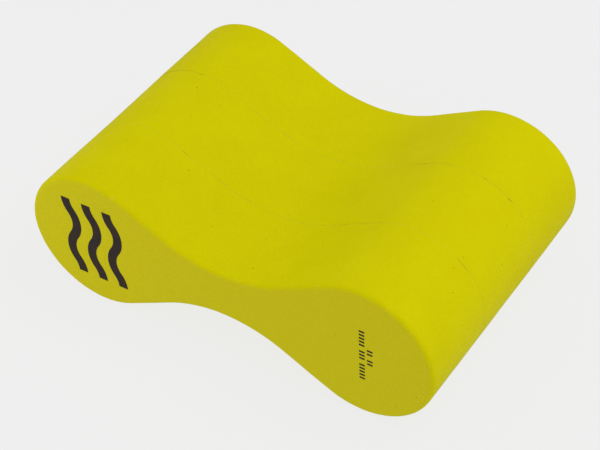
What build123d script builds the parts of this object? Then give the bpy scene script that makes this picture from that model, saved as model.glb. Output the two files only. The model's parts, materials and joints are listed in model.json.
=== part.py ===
"""Adult pull buoy: a swimmer's float that is held between the thighs.

The body is a block of closed-cell EVA foam with two round lobes joined by a
thin waist. The foam is bought as sheet, so the block is three equal slabs
glued face to face, cut to one profile, and rounded over along both ends.
Two dark prints are pressed flush into the front end: three waves on one
lobe, and two short rows of lot bars on the other.

Frame, in millimetres: X runs from lobe to lobe, Y through the depth with the
printed end at -Y, and Z up. The buoy lies on its lobes, and the origin is at
the middle of its underside.
"""

from build123d import *
from math import acos, atan2, cos, degrees, hypot, radians, sin
import os

# Body
LENGTH = 240.0  # over both lobes
DEPTH = 156.0  # from end to end
LOBE_RADIUS = 40.5
WAIST_THICKNESS = 29.0  # at the middle, where the thighs grip
WAIST_RADIUS = 78.0  # of the hollow on each side of the waist
END_EDGE_RADIUS = 3.0

# Lamination
SLAB_NAMES = ("front", "middle", "rear")
GLUE_NAMES = ("front", "rear")
GLUE_THICKNESS = 0.3
GLUE_SETBACK = 0.3  # of the film's rim from the surface, which leaves a fine groove

# Prints
PRINT_DEPTH = 0.3
WAVE_COUNT = 3
WAVE_PITCH = 13.0  # from wave to wave
WAVE_STROKE = 5.4
WAVE_HALF_LENGTH = 16.4  # of one half wave
WAVE_HEIGHT = 2.6  # of one half wave's crest
HALF_WAVES = 3
LOT_OFFSET = 1.5  # of the long row beyond the lobe's centre
BAR_LENGTH = 3.0
BAR_WIDTH = 1.0
BAR_PITCH = 2.25
LONG_ROW_GROUPS = (5, 3, 5)  # bars in each group
SHORT_ROW_GROUPS = (2, 2)
ROW_PITCH = 4.4

# Worked out from the above
LOBE_X = LENGTH / 2 - LOBE_RADIUS
MIDDLE_Z = LOBE_RADIUS
HOLLOW_Z = WAIST_THICKNESS / 2 + WAIST_RADIUS  # hollow's centre above the middle
FRONT_Y = -DEPTH / 2
REAR_Y = DEPTH / 2
SLAB_THICKNESS = (DEPTH - len(GLUE_NAMES) * GLUE_THICKNESS) / len(SLAB_NAMES)


def section_plane(y):
    """A plane across the depth at y, whose local axes are X and Z, measured from mid height."""
    return Plane(origin=(0, y, MIDDLE_Z), x_dir=(1, 0, 0), z_dir=(0, -1, 0))


def polar(centre, radius, angle):
    return (
        centre[0] + radius * cos(radians(angle)),
        centre[1] + radius * sin(radians(angle)),
    )


def profile(inset=0.0):
    """The buoy's outline: lobe arc, straight flank and hollow arc, each tangent to the next."""
    lobe, hollow = (LOBE_X, 0.0), (0.0, HOLLOW_Z)
    centres_apart = hypot(LOBE_X, HOLLOW_Z)
    to_hollow = degrees(atan2(HOLLOW_Z, -LOBE_X))
    flank_normal = to_hollow - degrees(acos((LOBE_RADIUS + WAIST_RADIUS) / centres_apart))
    lobe_radius, hollow_radius = LOBE_RADIUS - inset, WAIST_RADIUS + inset
    hollow_start = flank_normal + 180.0
    with BuildSketch() as sketch:
        with BuildLine():
            CenterArc(lobe, lobe_radius, 0, flank_normal)
            Line(
                polar(lobe, lobe_radius, flank_normal),
                polar(hollow, hollow_radius, hollow_start),
            )
            CenterArc(hollow, hollow_radius, hollow_start, 270.0 - hollow_start)
            mirror(about=Plane.YZ)
            mirror(about=Plane.XZ)
        make_face()
    return sketch.sketch


def slice_of(outline, y_front, thickness):
    """outline as a solid from y_front back by thickness."""
    return extrude(section_plane(y_front) * outline, -thickness)


def slab(index):
    """One slab of foam, cut to the profile and rounded over where it is an end of the buoy."""
    y_front = FRONT_Y + index * (SLAB_THICKNESS + GLUE_THICKNESS)
    solid = slice_of(profile(), y_front, SLAB_THICKNESS)
    for y in (FRONT_Y, REAR_Y):
        rim = solid.edges().filter_by_position(Axis.Y, y - 0.01, y + 0.01)
        if rim:
            solid = fillet(rim, END_EDGE_RADIUS)
    return solid


def glue_film(index):
    """The film behind slab index, set back so that each seam is a fine groove."""
    y_front = FRONT_Y + (index + 1) * SLAB_THICKNESS + index * GLUE_THICKNESS
    return slice_of(profile(GLUE_SETBACK), y_front, GLUE_THICKNESS)


def wave():
    """One wavy stroke along local Y: arcs to either side in turn, from one crest to another."""
    half = WAVE_HALF_LENGTH / 2
    radius = (half**2 + WAVE_HEIGHT**2) / (2 * WAVE_HEIGHT)
    swing = degrees(atan2(half, radius - WAVE_HEIGHT))
    shape = Sketch()
    for i in range(HALF_WAVES + 1):
        side = 1 if i % 2 == 0 else -1
        centre = (side * (WAVE_HEIGHT - radius), (i - HALF_WAVES / 2) * WAVE_HALF_LENGTH)
        below = 0.0 if i == 0 else swing
        above = 0.0 if i == HALF_WAVES else swing
        start = -below if side == 1 else 180.0 + below
        with BuildSketch() as band:
            with BuildLine():
                outer = CenterArc(centre, radius + WAVE_STROKE / 2, start, side * (below + above))
                inner = CenterArc(centre, radius - WAVE_STROKE / 2, start, side * (below + above))
                Line(outer @ 0, inner @ 0)
                Line(outer @ 1, inner @ 1)
            make_face()
        shape += band.sketch
    return shape


def wave_emblem():
    """Parallel waves centred on the left lobe, side by side along X."""
    first = -LOBE_X - (WAVE_COUNT - 1) / 2 * WAVE_PITCH
    return [Pos(first + i * WAVE_PITCH, 0) * wave() for i in range(WAVE_COUNT)]


def bar_row(groups, x):
    """A row of bars along local Y at x, one bar's gap between groups, centred on Y."""
    places = []
    step = 0
    for count in groups:
        places += [step + i for i in range(count)]
        step += count + 1
    middle = places[-1] / 2
    bar = Rectangle(BAR_LENGTH, BAR_WIDTH)
    return [Pos(x, (place - middle) * BAR_PITCH) * bar for place in places]


def lot_bars():
    """A long row of bars and a short one beyond it, on the right lobe."""
    long_row_x = LOBE_X + LOT_OFFSET
    return bar_row(LONG_ROW_GROUPS, long_row_x) + bar_row(SHORT_ROW_GROUPS, long_row_x + ROW_PITCH)


def print_solids(shapes):
    """Each printed shape as its own flush inlay in the front end."""
    return Compound(children=[slice_of(s, FRONT_Y, PRINT_DEPTH).solid() for s in shapes])


def main():
    os.makedirs("parts", exist_ok=True)
    prints = {"wave_print": print_solids(wave_emblem()), "lot_print": print_solids(lot_bars())}
    nodes = {f"foam_slab_{name}": slab(i) for i, name in enumerate(SLAB_NAMES)}
    nodes |= {f"glue_film_{name}": glue_film(i) for i, name in enumerate(GLUE_NAMES)}
    for inlay in prints.values():
        nodes["foam_slab_front"] = nodes["foam_slab_front"] - inlay.solids()
    nodes |= prints
    for name, shape in nodes.items():
        export_step(shape, f"parts/{name}.step")


main()
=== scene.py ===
# %% [markdown]
# # A swimmer's pull buoy
# A pull buoy is a block of closed-cell foam with two round lobes and a thin waist. A swimmer
# holds the waist between the thighs, and the lobes keep the legs up. The real one is cut from
# three thick sheets of foam that are glued face to face, and it carries two small dark prints.
# The lesson builds it in that order: the light first, then the slabs, the glue and the prints.
# The measured model is loaded as a frame that nothing here may move, and its main sizes are used.

import json
from math import acos, atan2, cos, degrees, hypot, pi, radians, sin

import bmesh
import bpy
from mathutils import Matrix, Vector, noise
from mathutils.bvhtree import BVHTree


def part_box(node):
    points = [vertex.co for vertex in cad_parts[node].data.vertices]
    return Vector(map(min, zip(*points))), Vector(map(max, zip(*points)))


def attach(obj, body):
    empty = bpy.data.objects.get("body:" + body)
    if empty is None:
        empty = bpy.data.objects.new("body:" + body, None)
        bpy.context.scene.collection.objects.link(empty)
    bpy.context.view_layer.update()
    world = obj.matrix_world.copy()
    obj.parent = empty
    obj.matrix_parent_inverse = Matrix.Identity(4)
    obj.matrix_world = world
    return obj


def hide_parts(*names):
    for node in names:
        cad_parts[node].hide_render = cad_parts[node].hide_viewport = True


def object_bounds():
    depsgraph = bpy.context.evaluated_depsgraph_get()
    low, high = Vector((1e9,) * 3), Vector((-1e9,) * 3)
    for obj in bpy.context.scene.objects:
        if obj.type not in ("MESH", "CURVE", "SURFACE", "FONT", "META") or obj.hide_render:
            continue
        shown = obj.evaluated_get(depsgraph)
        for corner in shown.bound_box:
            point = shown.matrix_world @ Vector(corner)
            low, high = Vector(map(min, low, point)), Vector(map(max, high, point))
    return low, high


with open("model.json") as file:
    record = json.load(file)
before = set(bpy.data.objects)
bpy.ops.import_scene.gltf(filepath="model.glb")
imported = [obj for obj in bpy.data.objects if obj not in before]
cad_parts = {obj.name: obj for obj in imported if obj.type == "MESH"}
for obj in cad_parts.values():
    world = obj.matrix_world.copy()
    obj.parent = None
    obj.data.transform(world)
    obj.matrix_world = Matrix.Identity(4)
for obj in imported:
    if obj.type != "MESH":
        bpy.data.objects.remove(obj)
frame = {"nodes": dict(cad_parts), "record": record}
cad_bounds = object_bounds()
low, high = (Vector(corner) for corner in cad_bounds)
centre = (low + high) / 2
size = high - low
print("the buoy is", [round(1000 * s, 1) for s in size], "mm")

# %% [markdown]
# ## The studio
# The buoy stands on a light table: a white acrylic sheet that is lit from below, so the shadow
# under a product all but disappears. A mix of a glowing and a plain white surface does the same
# here. The dome of soft light is the background colour of the world, one large lamp high on the
# right gives the rounded forms their gentle shading, and a small one low on the left lifts the
# near end of the left lobe.

# %% The light table
TABLE_WIDTH = 60
TABLE_DROP = 0.0005  # below the lobes, so that nothing flickers where they touch
TABLE_WHITE = 0.863
TABLE_GLOW = 0.92  # the share of its light that comes from below


def light_table_material():
    material = bpy.data.materials.new("light_table")
    material.use_nodes = True
    nodes, links = material.node_tree.nodes, material.node_tree.links
    nodes.clear()
    acrylic = nodes.new("ShaderNodeBsdfDiffuse")
    acrylic.inputs["Color"].default_value = (TABLE_WHITE, TABLE_WHITE, TABLE_WHITE, 1)
    glow = nodes.new("ShaderNodeEmission")
    glow.inputs["Color"].default_value = (TABLE_WHITE, TABLE_WHITE, TABLE_WHITE, 1)
    mix = nodes.new("ShaderNodeMixShader")
    mix.inputs[0].default_value = TABLE_GLOW
    output = nodes.new("ShaderNodeOutputMaterial")
    links.new(acrylic.outputs[0], mix.inputs[1])
    links.new(glow.outputs[0], mix.inputs[2])
    links.new(mix.outputs[0], output.inputs["Surface"])
    return material


bpy.ops.object.select_all(action="DESELECT")
bpy.ops.mesh.primitive_plane_add(size=TABLE_WIDTH, location=(0, 0, low.z - TABLE_DROP))
table = bpy.context.object
table.name = "light_table"
table.data.materials.append(light_table_material())
print("the light table is", TABLE_WIDTH, "m wide")

# %% The soft dome and the lamps
DOME_STRENGTH = 0.675
LAMPS = (  # name, place, width, power
    ("softbox", Vector((0.86, 0.25, 1.56)), 1.0, 12.4),
    ("small_card", Vector((-0.42, -0.32, 0.16)), 0.2, 0.40),
)

world = bpy.data.worlds.new("soft_dome")
world.use_nodes = True
sky = world.node_tree.nodes["Background"]
sky.inputs["Color"].default_value = (1, 1, 1, 1)
sky.inputs["Strength"].default_value = DOME_STRENGTH
bpy.context.scene.world = world

for lamp_name, place, width, power in LAMPS:
    bpy.ops.object.light_add(type="AREA", location=place)
    lamp = bpy.context.object
    lamp.name = lamp_name
    lamp.data.size = width
    lamp.data.energy = power
    lamp.rotation_euler = (centre - place).to_track_quat("-Z", "Y").to_euler()
    print("the", lamp_name, "is", round((place - centre).length, 2), "m away")

# %% [markdown]
# ## The camera
# A camera is easiest to place in everyday words: so far round, so high, so far away, and aimed
# a little beside the middle. The last turn, about its own axis, is the slight tilt of a camera
# held by hand.

# %% The camera
CAMERA_AZIMUTH = radians(34.03)
CAMERA_ELEVATION = radians(41.65)
CAMERA_DISTANCE = 0.9331
CAMERA_TILT = radians(-2.82)
CAMERA_LENS = 106.57
SENSOR_WIDTH = 36
NEAREST = 0.01  # anything closer to the camera than this isn't drawn
AIM_RIGHT = -0.0030
AIM_UP = -0.0093

to_camera = Vector((
    sin(CAMERA_AZIMUTH) * cos(CAMERA_ELEVATION),
    -cos(CAMERA_AZIMUTH) * cos(CAMERA_ELEVATION),
    sin(CAMERA_ELEVATION),
))
level_right = Vector((cos(CAMERA_AZIMUTH), sin(CAMERA_AZIMUTH), 0))
aim = centre + AIM_RIGHT * level_right + AIM_UP * to_camera.cross(level_right)

bpy.ops.object.camera_add(location=aim + CAMERA_DISTANCE * to_camera)
camera = bpy.context.object
camera.name = "camera"
camera.data.lens = CAMERA_LENS
camera.data.sensor_width = SENSOR_WIDTH
camera.rotation_euler = (-to_camera).to_track_quat("-Z", "Y").to_euler()
camera.rotation_euler.rotate_axis("Z", CAMERA_TILT)
camera.data.clip_start = NEAREST
bpy.context.scene.camera = camera
bpy.context.scene.view_settings.view_transform = "Standard"
print("the camera is at", [round(c, 3) for c in camera.location])

# %% [markdown]
# ## The outline
# Seen from its end, the buoy is two circles joined by two hollows. A saw follows a template, so
# each curve runs into the next with no corner. The frame gives the lobe's radius as half the
# height, and the waist's thickness as the distance between the two hollows. The hollow's radius
# is the one size to be chosen, and trigonometry gives the straight flank between the curves.

# %% Sizes of the outline
HOLLOW_RADIUS = 0.078
mounts = {mount["name"]: mount for mount in frame["record"]["mounts"]}
waist_top = mounts["upper_thigh_hollow"]["pos_m"][2]
waist_bottom = mounts["lower_thigh_hollow"]["pos_m"][2]

lobe_radius = size.z / 2
lobe_x = high.x - lobe_radius
middle_z = centre.z
hollow_z = (waist_top - waist_bottom) / 2 + HOLLOW_RADIUS
centres_apart = hypot(lobe_x, hollow_z)
flank_turn = atan2(hollow_z, -lobe_x) - acos((lobe_radius + HOLLOW_RADIUS) / centres_apart)
hollow_turn = flank_turn - pi / 2
flank_length = (centres_apart**2 - (lobe_radius + HOLLOW_RADIUS) ** 2) ** 0.5
print("flank", round(1000 * flank_length, 1), "mm at", round(degrees(hollow_turn), 1), "degrees")

# %% [markdown]
# ## Drawing one quarter, then the whole ring
# A round stretch is drawn exactly by Spin: one point is turned about a centre and leaves a chain
# of edges behind. So a plane is merged to a single point at the tip of a lobe, spun over the lobe,
# extruded down the flank, and spun under into the hollow. Two mirrored copies close the ring, and
# the doubled points at the joints are merged.

# %% Helpers for edit mode
STEP = 0.0021  # about the length of one edge of the ring
SAME_POINT = 1e-5  # points closer than this are one


def select_where(test, kind="verts"):
    """Selects the points, edges or faces whose middle passes the test, and nothing else."""
    bpy.ops.mesh.select_mode(type={"verts": "VERT", "edges": "EDGE", "faces": "FACE"}[kind])
    bpy.ops.mesh.select_all(action="DESELECT")
    mesh = bmesh.from_edit_mesh(bpy.context.object.data)
    chosen = 0
    for part in getattr(mesh, kind):
        points = [part.co] if kind == "verts" else [v.co for v in part.verts]
        if test(sum(points, Vector()) / len(points)):
            part.select_set(True)
            chosen += 1
    mesh.select_flush_mode()
    bmesh.update_edit_mesh(bpy.context.object.data)
    return chosen


def near(a, b):
    return abs(a - b) < SAME_POINT


def steps_of(length):
    """How many edges a stretch of this length is divided into."""
    return max(1, round(length / STEP))


print("one edge is", 1000 * STEP, "mm, so a lobe's radius is", steps_of(lobe_radius), "edges")


# %% Draw the ring
def draw_ring(y, inset=0.0):
    """The outline as a closed ring of edges at depth y, left in edit mode and all selected."""
    bpy.ops.object.select_all(action="DESELECT")
    tip = Vector((lobe_x + lobe_radius - inset, y, middle_z))
    bpy.ops.mesh.primitive_plane_add(size=STEP, location=tip)
    bpy.ops.object.transform_apply(location=True, rotation=False, scale=False)
    bpy.ops.object.mode_set(mode="EDIT")
    bpy.ops.mesh.select_mode(type="VERT")
    bpy.ops.mesh.select_all(action="SELECT")
    bpy.ops.mesh.merge(type="CENTER")
    bpy.ops.mesh.spin(
        steps=steps_of(lobe_radius * flank_turn), angle=flank_turn,
        center=(lobe_x, y, middle_z), axis=(0, 1, 0),
    )
    flank_step = flank_length / steps_of(flank_length)
    downhill = Vector((-cos(hollow_turn), 0, -sin(hollow_turn))) * flank_step
    for _ in range(steps_of(flank_length)):
        bpy.ops.mesh.extrude_region_move(TRANSFORM_OT_translate={"value": downhill})
    bpy.ops.mesh.spin(
        steps=steps_of(HOLLOW_RADIUS * hollow_turn), angle=-hollow_turn,
        center=(0, y, middle_z + hollow_z), axis=(0, 1, 0),
    )
    for flip in ((-1, 1, 1), (1, 1, -1)):
        bpy.ops.mesh.select_all(action="SELECT")
        bpy.ops.mesh.duplicate()
        bpy.ops.transform.resize(value=flip, center_override=(0, y, middle_z))
    bpy.ops.mesh.select_all(action="SELECT")
    bpy.ops.mesh.remove_doubles(threshold=SAME_POINT)
    return bpy.context.object


ring = draw_ring(0.0)
ring_mesh = bmesh.from_edit_mesh(ring.data)
print("ring:", len(ring_mesh.verts), "points,", len(ring_mesh.edges), "edges")
print("open ends:", sum(len(v.link_edges) != 2 for v in ring_mesh.verts))
bpy.ops.object.mode_set(mode="OBJECT")
print("box", [round(1000 * s, 2) for s in ring.dimensions])
bpy.data.objects.remove(ring)

# %% [markdown]
# ## From ring to slab
# The ring is filled, pushed back through the slab's thickness, and its two rims are rounded with
# Bevel while the ends are still single faces, because a wide bevel would trip over a fine mesh.
# Only then do the ends get a grid of four-sided faces: Grid Fill runs its lines from the upper
# edge of the outline to the lower one, so they close up in the waist and open out in the lobes.
# The long faces round the sides are cut into rows last.

# %% Ends and rows
def fill_end(y):
    """Replaces the single face at depth y by a grid that follows the outline."""
    corner = lobe_x + lobe_radius * sin(pi / 4)
    select_where(lambda p: near(p.y, y), "faces")
    bpy.ops.mesh.delete(type="ONLY_FACE")
    select_where(lambda p: near(p.y, y) and abs(p.x) < corner, "edges")
    bpy.ops.mesh.fill_grid()


def cut_rows(y_middle, length):
    """Cuts the long faces between the two ends into rows about one step deep."""
    select_where(lambda p: near(p.y, y_middle), "edges")
    bpy.ops.mesh.subdivide(number_cuts=max(1, round(length / STEP) - 1))


# %% One plain slab
def make_block(name, y_front, y_back, front_round, back_round, inset=0.0):
    """A block with the buoy's outline; each round is a rim's radius and its number of segments."""
    block = draw_ring(y_front, inset)
    block.name = name
    bpy.ops.mesh.edge_face_add()
    bpy.ops.mesh.extrude_region_move(TRANSFORM_OT_translate={"value": (0, y_back - y_front, 0)})
    for y, (radius, segments) in ((y_front, front_round), (y_back, back_round)):
        if radius:
            select_where(lambda p: near(p.y, y), "edges")
            bpy.ops.mesh.bevel(offset=radius, segments=segments, profile=0.5, affect="EDGES")
    fill_end(y_front)
    fill_end(y_back)
    long_front, long_back = y_front + front_round[0], y_back - back_round[0]
    if long_back - long_front > 2 * STEP:
        cut_rows((long_front + long_back) / 2, long_back - long_front)
    bpy.ops.mesh.select_all(action="SELECT")
    bpy.ops.mesh.remove_doubles(threshold=SAME_POINT / 10)
    bpy.ops.mesh.normals_make_consistent(inside=False)
    bpy.ops.object.mode_set(mode="OBJECT")
    print(name, len(block.data.polygons), "faces")
    return block


# %% The three slabs
END_ROUND = (0.003, 5)  # radius and number of segments
SEAM_ROUND = (0.00006, 2)
slab_names = ["foam_slab_front", "foam_slab_middle", "foam_slab_rear"]
slabs = {}
for slab_name in slab_names:
    slab_low, slab_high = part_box(slab_name)
    slabs[slab_name] = make_block(
        slab_name.replace("slab", "block"), slab_low.y, slab_high.y,
        END_ROUND if near(slab_low.y, low.y) else SEAM_ROUND,
        END_ROUND if near(slab_high.y, high.y) else SEAM_ROUND,
    )

# %% [markdown]
# ## Making it foam
# A cushion would be blown up by a cloth simulation, but this foam is stiff and holds the shape that
# the saw gave it, so nothing sags or swells. What tells it from plastic is its skin: slow swells
# where the sheet was uneven, and a fine orange peel over them. One more subdivision gives enough
# points, and each is then moved along its normal by a few layers of noise, so the unevenness is
# real geometry. At a glue line the points may only move outwards or inwards, never across it.

# %% The foam's unevenness
SWELLS = ((0.050, 0.00022), (0.012, 0.00006), (0.0036, 0.00003))  # wavelength and height


def foam_lift(point):
    """How far the skin stands proud at a point."""
    return sum(height * noise.noise(point / wavelength) for wavelength, height in SWELLS)


def refine(block):
    """Adds one level of subdivision for good."""
    bpy.ops.object.select_all(action="DESELECT")
    block.select_set(True)
    bpy.context.view_layer.objects.active = block
    modifier = block.modifiers.new("finer", "SUBSURF")
    modifier.levels = 1
    modifier.render_levels = 1
    bpy.ops.object.modifier_apply(modifier="finer")


print("the skin moves at most", round(1000 * sum(height for _, height in SWELLS), 2), "mm")


# %% [markdown]
# ## Glue lines that come and go
# Where the slabs meet tightly the joint can hardly be seen. In a few short stretches the rims
# have drawn back a little, and there the joint reads as a fine dark line. Such faults follow no
# rule, so they are listed one by one, and the same function shapes both rims and later colours the
# glue.

# %% How open a glue line is
OPEN_STRETCHES = (  # which glue line, its middle in x, half its length, how open
    (0, -0.0545, 0.0035, 0.45),
    (0, 0.0270, 0.0050, 0.25),
    (0, 0.1070, 0.0045, 0.4),
    (1, -0.0815, 0.0035, 0.5),
    (1, -0.0260, 0.0070, 0.25),
    (1, 0.0915, 0.0022, 0.6),
    (1, 0.0990, 0.0080, 0.25),
    (1, 0.1055, 0.0018, 0.7),
)
OPEN_DEPTH = 0.0003  # how far the rims draw back where a line is fully open
OPEN_REACH = 0.0010  # how far from the line they do so
RIM_EDGE = 0.0002  # up to here they do so fully
STAY_REACH = (0.001, 0.004)  # from a glue line: no sideways move, and a full one
FULLY_OPEN_SHARE = 0.3  # of a stretch's half length; beyond it the gap closes
glue_names = ["glue_film_front", "glue_film_rear"]
glue_lines = [(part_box(name)[0].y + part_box(name)[1].y) / 2 for name in glue_names]
print("glue lines at", [round(1000 * line, 2) for line in glue_lines], "mm")


def smooth_step(start, end, value):
    """From 0 at start to 1 at end, with no kink at either."""
    t = min(1.0, max(0.0, (value - start) / (end - start)))
    return t * t * (3 - 2 * t)


def nearest_glue_line(y):
    return min(glue_lines, key=lambda line: abs(line - y))


def openness(point):
    """From 0, where the joint beside this point is tight, to 1; the underside runs the other way."""
    line = glue_lines.index(nearest_glue_line(point.y))
    x = point.x if point.z > middle_z else -point.x
    open_here = 0.0
    for stretch_line, middle, half_length, amount in OPEN_STRETCHES:
        if stretch_line == line:
            full = FULLY_OPEN_SHARE * half_length
            fade = 1 - smooth_step(full, half_length, abs(x - middle))
            open_here = max(open_here, amount * fade)
    return open_here


def roughen(block):
    """Moves every point of a slab as the foam's skin and its glue lines ask."""
    mesh = bmesh.new()
    mesh.from_mesh(block.data)
    mesh.normal_update()
    for vertex in mesh.verts:
        outward = vertex.normal.copy()
        from_glue = abs(vertex.co.y - nearest_glue_line(vertex.co.y))
        outward.y *= smooth_step(*STAY_REACH, from_glue)
        gap = openness(vertex.co) * (1 - smooth_step(RIM_EDGE, OPEN_REACH, from_glue))
        vertex.co += outward * (foam_lift(vertex.co) - OPEN_DEPTH * gap)
    mesh.to_mesh(block.data)
    mesh.free()


for slab in slabs.values():
    refine(slab)
    roughen(slab)
    print(slab.name, len(slab.data.polygons), "faces after the skin")

# %% [markdown]
# ## Room for the prints
# The ink is pressed on by a hot die, which leaves it flush with the foam around it. The measured
# model already holds both prints as thin inlays, so they stay. The foam only has to step back
# behind them: every point of the front end asks how far it is from the nearest print.

# %% Press the front end in behind the prints
PRESSED = 0.00012  # below the face of the ink
PRESSED_REACH = (0.0012, 0.0034)  # from the ink's edge: fully pressed, and not at all
FRONT_SKIN = 0.001  # points further back than this aren't on the front end
print_names = ["wave_print", "lot_print"]


def tree_of(node):
    """A search tree of a node's faces."""
    mesh = frame["nodes"][node].data
    return BVHTree.FromPolygons([v.co for v in mesh.vertices], [p.vertices for p in mesh.polygons])


def press_in(block):
    """Flattens and lowers the foam round each print, with a soft shoulder."""
    trees = [tree_of(name) for name in print_names]
    face_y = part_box(print_names[0])[0].y
    pressed = 0
    for vertex in block.data.vertices:
        if vertex.co.y > face_y + FRONT_SKIN:
            continue
        on_face = Vector((vertex.co.x, face_y, vertex.co.z))
        distance = min(tree.find_nearest(on_face)[3] for tree in trees)
        share = 1 - smooth_step(*PRESSED_REACH, distance)
        vertex.co.y += share * (face_y + PRESSED - vertex.co.y)
        pressed += share > 0
    print("pressed", pressed, "points behind the prints")


press_in(slabs["foam_slab_front"])

# %% [markdown]
# ## The glue
# The glue is a film 0.3 mm thick. It is cut by the same saw as the foam, so it ends all but level
# with the rims where the joint is tight. Each point keeps its openness as an attribute, which the
# glue's material reads to turn from the foam's yellow to a brown that is partly the glue's own and
# partly painted shade in the open gap.

# %% The two films
FILM_INSET = 0.00004  # of the film's edge, inside the foam's outline
FILM_GIVE = 0.7  # the film draws back a little less than the rims beside it


def mark_openness(film):
    """Keeps each point's openness, for the glue's material to read."""
    attribute = film.data.attributes.new("openness", "FLOAT", "POINT")
    for vertex in film.data.vertices:
        attribute.data[vertex.index].value = openness(vertex.co)


films = {}
for glue_name in glue_names:
    film_low, film_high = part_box(glue_name)
    film = make_block(
        glue_name.replace("film", "line"), film_low.y, film_high.y, (0, 1), (0, 1), FILM_INSET
    )
    for vertex in film.data.vertices:
        radial = Vector((vertex.normal.x, 0, vertex.normal.z))
        drawn_back = FILM_GIVE * OPEN_DEPTH * openness(vertex.co)
        vertex.co += radial * (foam_lift(vertex.co) - drawn_back)
    mark_openness(film)
    films[glue_name] = film

# %% [markdown]
# ## Shared effects
# Three effects turn up in more than one material, so each is a node group with named sockets:
# closed cells, which are the foam's grain, the painted shade between its cells and its few burst
# bubbles, cloudy patches, which keep any colour from being flat, and scuffs on handled edges.

# %% Node helpers
def new_group(name, inputs, outputs):
    """A shader node group with float or vector inputs and float outputs."""
    group = bpy.data.node_groups.new(name, "ShaderNodeTree")
    for socket, kind, value in inputs:
        made = group.interface.new_socket(socket, in_out="INPUT", socket_type=kind)
        if kind == "NodeSocketFloat":
            made.default_value = value
    for socket in outputs:
        group.interface.new_socket(socket, in_out="OUTPUT", socket_type="NodeSocketFloat")
    start = group.nodes.new("NodeGroupInput")
    end = group.nodes.new("NodeGroupOutput")
    return group, start, end


def add(tree, kind, settings=None, **inputs):
    """A node with its settings and inputs. An input is a value or another node's output.

    Cell_Size is the input called "Cell Size", and _1 is the second one, whatever its name.
    """
    node = tree.nodes.new(kind)
    for name, value in (settings or {}).items():
        setattr(node, name, value)
    for name, value in inputs.items():
        key = int(name[1:]) if name[0] == "_" else name.replace("_", " ")
        socket = node.inputs[key]
        if isinstance(value, bpy.types.NodeSocket):
            tree.links.new(value, socket)
        else:
            socket.default_value = value
    return node


def maths(tree, operation, *values):
    """A Math node's result."""
    inputs = {f"_{i}": value for i, value in enumerate(values)}
    return add(tree, "ShaderNodeMath", {"operation": operation}, **inputs).outputs[0]


def remap(tree, value, from_low, from_high, to_low=0.0, to_high=1.0):
    """A smooth Map Range node's result."""
    return add(
        tree, "ShaderNodeMapRange", {"interpolation_type": "SMOOTHSTEP"},
        Value=value, From_Min=from_low, From_Max=from_high, To_Min=to_low, To_Max=to_high,
    ).outputs[0]


# %% Closed cells
WOBBLE_SCALE = 0.6  # of the noise that makes the cells irregular, against their own scale
CLUMP_SCALE = 0.45  # of the noise that gathers cells into clumps
SMALLEST_PIT = 0.035  # its radius, as a share of the pits' spacing
PIT_SPREAD = 0.12  # how much larger the others may be
PIT_DEPTH = 3.0  # against the relief of the cells
PIT_EDGES = (0.5, 1.0)  # of a pit's radius: full depth, and none
CELL_EDGES = (0.15, 0.6)  # from a cell's middle: light, and shade


def make_closed_cells():
    """Height is the relief of the cells, Cell Shade their painted light and shade, and Pits the
    burst ones.
    """
    group, start, end = new_group(
        "closed_cells",
        [
            ("Place", "NodeSocketVector", None),
            ("Cell Size", "NodeSocketFloat", 0.0006),
            ("Pit Spacing", "NodeSocketFloat", 0.004),
            ("Pit Share", "NodeSocketFloat", 0.3),
        ],
        ["Height", "Grain", "Pits"],
    )
    cell_scale = maths(group, "DIVIDE", 1.0, start.outputs["Cell Size"])
    pit_scale = maths(group, "DIVIDE", 1.0, start.outputs["Pit Spacing"])
    wobble = add(
        group, "ShaderNodeTexNoise", None,
        Vector=start.outputs["Place"], Detail=1.0,
        Scale=maths(group, "MULTIPLY", cell_scale, WOBBLE_SCALE),
    )
    shift = add(
        group, "ShaderNodeVectorMath", {"operation": "SCALE"},
        _0=wobble.outputs["Color"], Scale=start.outputs["Cell Size"],
    )
    place = add(
        group, "ShaderNodeVectorMath", {"operation": "ADD"},
        _0=start.outputs["Place"], _1=shift.outputs[0],
    ).outputs[0]
    cells = add(
        group, "ShaderNodeTexVoronoi", {"feature": "SMOOTH_F1"},
        Vector=place, Scale=cell_scale, Smoothness=0.4,
    )
    grain = add(
        group, "ShaderNodeTexNoise", None,
        Vector=start.outputs["Place"], Detail=4.0,
        Scale=maths(group, "MULTIPLY", cell_scale, CLUMP_SCALE),
    )
    pits = add(group, "ShaderNodeTexVoronoi", None, Vector=place, Scale=pit_scale)
    chance = add(group, "ShaderNodeSeparateColor", None, Color=pits.outputs["Color"]).outputs[0]
    is_pit = maths(group, "LESS_THAN", chance, start.outputs["Pit Share"])
    pit_edge = maths(group, "ADD", SMALLEST_PIT, maths(group, "MULTIPLY", chance, PIT_SPREAD))
    hole = maths(group, "DIVIDE", pits.outputs["Distance"], pit_edge)
    hole = maths(group, "MULTIPLY", remap(group, hole, *PIT_EDGES, 1.0, 0.0), is_pit)
    height = maths(group, "ADD", cells.outputs["Distance"], grain.outputs["Fac"])
    height = maths(group, "SUBTRACT", height, maths(group, "MULTIPLY", hole, PIT_DEPTH))
    group.links.new(height, end.inputs["Height"])
    group.links.new(remap(group, cells.outputs["Distance"], *CELL_EDGES), end.inputs["Grain"])
    group.links.new(hole, end.inputs["Pits"])
    return group


closed_cells = make_closed_cells()
print("closed cells:", len(closed_cells.nodes), "nodes")


# %% Cloudy patches
CLOUD_EDGES = (0.35, 0.65)  # of the noise: no patch, and a full one


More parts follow.
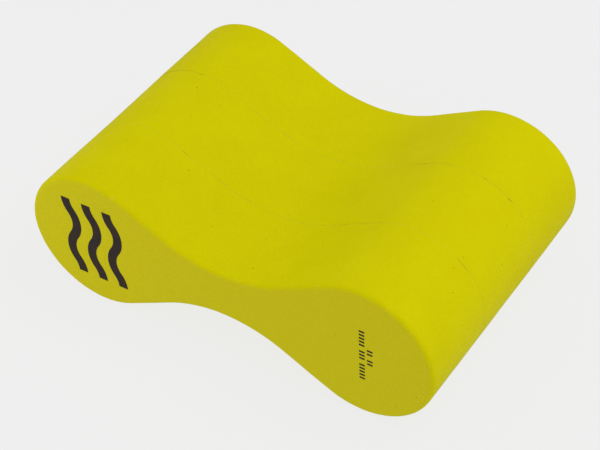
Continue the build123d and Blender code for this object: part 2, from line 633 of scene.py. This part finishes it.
def make_cloudy_patches():
    """Patches is a soft mask from 0 to 1 whose blotches are about as wide as Patch Size."""
    group, start, end = new_group(
        "cloudy_patches",
        [
            ("Place", "NodeSocketVector", None),
            ("Patch Size", "NodeSocketFloat", 0.02),
        ],
        ["Patches"],
    )
    scale = maths(group, "DIVIDE", 1.0, start.outputs["Patch Size"])
    clouds = add(
        group, "ShaderNodeTexNoise", None,
        Vector=start.outputs["Place"], Scale=scale, Detail=3.0, Roughness=0.55,
    )
    group.links.new(remap(group, clouds.outputs["Fac"], *CLOUD_EDGES), end.inputs["Patches"])
    return group


cloudy_patches = make_cloudy_patches()
print("cloudy patches:", len(cloudy_patches.nodes), "nodes")


# %% Scuffs
UNTOUCHED = 0.78  # at no wear, only noise above this is a mark
WEAR_REACH = 0.3  # how far full wear lowers that
MARK_EDGE = 0.08  # from no mark to a full one, in the same noise


def make_scuffs():
    """Scuffs are short rubbed marks that thin out where Wear is low."""
    group, start, end = new_group(
        "scuffs",
        [
            ("Place", "NodeSocketVector", None),
            ("Mark Size", "NodeSocketFloat", 0.003),
            ("Wear", "NodeSocketFloat", 0.5),
        ],
        ["Scuffs"],
    )
    scale = maths(group, "DIVIDE", 1.0, start.outputs["Mark Size"])
    marks = add(
        group, "ShaderNodeTexNoise", None,
        Vector=start.outputs["Place"], Scale=scale, Detail=5.0, Roughness=0.7,
    )
    lowered = maths(group, "MULTIPLY", start.outputs["Wear"], WEAR_REACH)
    threshold = maths(group, "SUBTRACT", UNTOUCHED, lowered)
    above = maths(group, "SUBTRACT", marks.outputs["Fac"], threshold)
    group.links.new(remap(group, above, 0.0, MARK_EDGE), end.inputs["Scuffs"])
    return group


scuffs = make_scuffs()
print("scuffs:", len(scuffs.nodes), "nodes")


# %% Material helpers
def place_group(tree, group, **inputs):
    """A node group placed in a material with its own values."""
    return add(tree, "ShaderNodeGroup", {"node_tree": group}, **inputs)


def mix_colour(tree, factor, first, second):
    """A Mix Color node's result; a colour is three numbers or another node's output."""
    node = tree.nodes.new("ShaderNodeMix")
    node.data_type = "RGBA"
    for index, value in ((0, factor), (6, first), (7, second)):
        if isinstance(value, bpy.types.NodeSocket):
            tree.links.new(value, node.inputs[index])
        else:
            node.inputs[index].default_value = value if index == 0 else (*value, 1)
    return node.outputs[2]


def new_surface(name, specular, **fixed):
    """A material with an empty Principled shader, whose even values are set on its own sockets."""
    material = bpy.data.materials.new(name)
    material.use_nodes = True
    tree = material.node_tree
    surface = tree.nodes["Principled BSDF"]
    surface.inputs["Specular IOR Level"].default_value = specular
    for socket, value in fixed.items():
        surface.inputs[socket.replace("_", " ")].default_value = value
    coordinates = tree.nodes.new("ShaderNodeTexCoord")
    return material, tree, surface, coordinates


def finish_surface(tree, surface, colour, roughness, height, depth):
    """Wires colour, roughness and a bump of the given depth in metres into the shader."""
    bump = add(tree, "ShaderNodeBump", None, Height=height, Distance=depth, Strength=1.0)
    tree.links.new(colour, surface.inputs["Base Color"])
    tree.links.new(roughness, surface.inputs["Roughness"])
    tree.links.new(bump.outputs[0], surface.inputs["Normal"])


# %% [markdown]
# ## Foam
# The yellow is so strong that hardly any blue comes back from it. The saw ran hot along the sides
# and left them a shade brighter and smoother than the ends. The ends are found by their normal,
# which turns with the object. Painted shade darkens the hollows between the cells a little, more
# so on the ends, where the cells lie open. Over that lie the cloudy patches, a few burst cells with
# painted shade in them and, on the rounded rims, some scuffs.

# %% Foam material
SKIN_YELLOW = (0.618, 0.572, 0.0002)
SKIN_SHADE = (0.606, 0.555, 0.0002)
CUT_YELLOW = (0.628, 0.562, 0.012)
# a darker foam for freckles and worn ink, and painted shade between the cells and in burst cells
PAINTED_SHADE_AND_DARK_FOAM = (0.360, 0.325, 0.001)
SCUFF_YELLOW = (0.640, 0.590, 0.030)
CUT_TURN = (0.75, 0.98)  # how far a normal points along the depth: side, and open end
RIM_TURN = (0.15, 0.5)  # where a rim begins, in the same measure
RIM_END = (0.98, 0.8)  # past the rim, and still wholly on it
FOAM_CELLS = {"Cell_Size": 0.0008, "Pit_Spacing": 0.0055, "Pit_Share": 0.3}
# the share of painted shade between the cells
CELL_SHADE_SHARE = 0.08
CUT_CELL_SHADE_SHARE = 0.05  # added on the ends
FRECKLE_SHARE = 0.03
# painted shade in the burst cells
BURST_SHADE_SHARE = 0.5
SCUFF_SHARE = 0.3
EVEN_WEAR = 0.25
RIM_WEAR = 0.5
FOAM_ROUGHNESS = 0.55
PATCH_ROUGHNESS = 0.08
CUT_ROUGHNESS = 0.15
FOAM_RELIEF = 0.00014


def foam_material():
    material, tree, surface, coordinates = new_surface("foam", specular=0.015)
    place = coordinates.outputs["Object"]
    facing = add(tree, "ShaderNodeSeparateXYZ", None, Vector=coordinates.outputs["Normal"])
    endward = maths(tree, "ABSOLUTE", facing.outputs["Y"])
    is_cut = remap(tree, endward, *CUT_TURN)
    is_rim = maths(tree, "MULTIPLY", remap(tree, endward, *RIM_TURN), remap(tree, endward, *RIM_END))
    cells = place_group(tree, closed_cells, Place=place, **FOAM_CELLS)
    patches = place_group(tree, cloudy_patches, Place=place, Patch_Size=0.022)
    freckles = place_group(tree, cloudy_patches, Place=place, Patch_Size=0.0045)
    wear = maths(tree, "ADD", EVEN_WEAR, maths(tree, "MULTIPLY", is_rim, RIM_WEAR))
    rubbed = place_group(tree, scuffs, Place=place, Mark_Size=0.004, Wear=wear)

    colour = mix_colour(tree, patches.outputs[0], SKIN_YELLOW, SKIN_SHADE)
    colour = mix_colour(tree, is_cut, colour, CUT_YELLOW)
    cell_shade_share = maths(tree, "ADD", CELL_SHADE_SHARE, maths(tree, "MULTIPLY", is_cut, CUT_CELL_SHADE_SHARE))
    # painted shade between the cells, deeper on the ends
    painted_cell_shade = maths(tree, "MULTIPLY", cells.outputs["Grain"], cell_shade_share)
    colour = mix_colour(tree, painted_cell_shade, colour, PAINTED_SHADE_AND_DARK_FOAM)
    # freckles are darker foam, burst cells get painted shade, and scuffs are rubbed wear
    for mask, share, shade in (
        (freckles.outputs[0], FRECKLE_SHARE, PAINTED_SHADE_AND_DARK_FOAM),
        (cells.outputs["Pits"], BURST_SHADE_SHARE, PAINTED_SHADE_AND_DARK_FOAM),
        (rubbed.outputs[0], SCUFF_SHARE, SCUFF_YELLOW),
    ):
        colour = mix_colour(tree, maths(tree, "MULTIPLY", mask, share), colour, shade)

    roughness = maths(tree, "MULTIPLY", patches.outputs[0], PATCH_ROUGHNESS)
    roughness = maths(tree, "ADD", FOAM_ROUGHNESS, roughness)
    roughness = maths(tree, "ADD", roughness, maths(tree, "MULTIPLY", is_cut, CUT_ROUGHNESS))
    finish_surface(tree, surface, colour, roughness, cells.outputs["Height"], FOAM_RELIEF)
    return material


foam = foam_material()
print("foam:", len(foam.node_tree.nodes), "nodes")

# %% [markdown]
# ## Glue and ink
# Contact glue dries clear and yellowish, so in a tight joint it takes the foam's colour, and an
# open joint shows a brown that is partly the glue's own and partly painted shade in the gap. The
# ink is a brown black that is thin enough to let the grain of the foam through, with tiny breaks
# where a cell has burst under it.

# %% Glue material
# an open joint's brown: partly the glue's own, partly painted shade in the gap
GLUE_BROWN_AND_GAP_SHADE = (0.160, 0.140, 0.004)
GLUE_TIGHT = (0.600, 0.560, 0.0003)
GLUE_CELLS = {"Cell_Size": 0.0012, "Pit_Spacing": 0.003, "Pit_Share": 0.5}
LEAST_BROWN_AND_SHADE = 0.6  # in the palest patches of an open joint
GLUE_ROUGHNESS = (0.35, 0.6)
GLUE_RELIEF = 0.00005


def glue_material():
    material, tree, surface, coordinates = new_surface("contact_glue", specular=0.15)
    place = coordinates.outputs["Object"]
    gape = add(tree, "ShaderNodeAttribute", {"attribute_name": "openness"}).outputs["Fac"]
    cells = place_group(tree, closed_cells, Place=place, **GLUE_CELLS)
    patches = place_group(tree, cloudy_patches, Place=place, Patch_Size=0.006)
    brown_and_shade_share = remap(tree, patches.outputs[0], 0.0, 1.0, LEAST_BROWN_AND_SHADE, 1.0)
    # the more open the joint, the more brown and painted shade
    brown_and_gap_shade = maths(tree, "MULTIPLY", gape, brown_and_shade_share)
    colour = mix_colour(tree, brown_and_gap_shade, GLUE_TIGHT, GLUE_BROWN_AND_GAP_SHADE)
    roughness = remap(tree, patches.outputs[0], 0.0, 1.0, *GLUE_ROUGHNESS)
    finish_surface(tree, surface, colour, roughness, cells.outputs["Height"], GLUE_RELIEF)
    return material


glue = glue_material()
print("glue:", len(glue.node_tree.nodes), "nodes")

# %% Ink material
INK_BROWN = (0.024, 0.0150, 0.0165)
INK_THIN = (0.036, 0.0250, 0.0160)
INK_CELLS = {"Cell_Size": 0.0007, "Pit_Spacing": 0.0022, "Pit_Share": 0.3}
INK_WEAR = 0.45
RUBBED_SHARE = 0.4
BREAK_SHARE = 0.5
INK_ROUGHNESS = (0.42, 0.6)
INK_RELIEF = 0.00004


def ink_material():
    material, tree, surface, coordinates = new_surface("pressed_ink", specular=0.06)
    place = coordinates.outputs["Object"]
    cells = place_group(tree, closed_cells, Place=place, **INK_CELLS)
    patches = place_group(tree, cloudy_patches, Place=place, Patch_Size=0.005)
    rubbed = place_group(tree, scuffs, Place=place, Mark_Size=0.0016, Wear=INK_WEAR)
    colour = mix_colour(tree, patches.outputs[0], INK_BROWN, INK_THIN)
    for mask, share, shade in (
        (rubbed.outputs[0], RUBBED_SHARE, PAINTED_SHADE_AND_DARK_FOAM),
        (cells.outputs["Pits"], BREAK_SHARE, CUT_YELLOW),
    ):
        colour = mix_colour(tree, maths(tree, "MULTIPLY", mask, share), colour, shade)
    roughness = remap(tree, patches.outputs[0], 0.0, 1.0, *INK_ROUGHNESS)
    finish_surface(tree, surface, colour, roughness, cells.outputs["Height"], INK_RELIEF)
    return material


ink = ink_material()
print("ink:", len(ink.node_tree.nodes), "nodes")

# %% [markdown]
# ## Putting it together
# Nothing on a pull buoy moves, so every piece rides on the one body of the frame. Each new slab
# and film stands for its measured counterpart. The prints are the frame's own, with a better
# material.

# %% Dress the pieces
SMOOTH_UP_TO = radians(50)  # sharper edges than this stay crisp


def dress(piece, material, node):
    """Gives a new piece its material, smooth shading and body, and hides the node it stands for."""
    piece.data.materials.clear()
    piece.data.materials.append(material)
    bpy.ops.object.select_all(action="DESELECT")
    piece.select_set(True)
    bpy.context.view_layer.objects.active = piece
    bpy.ops.object.shade_smooth_by_angle(angle=SMOOTH_UP_TO)
    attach(piece, "root")
    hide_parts(node)


for node, slab in slabs.items():
    dress(slab, foam, node)
for node, film in films.items():
    dress(film, glue, node)
for node in print_names:
    frame["nodes"][node].material_slots[0].material = ink
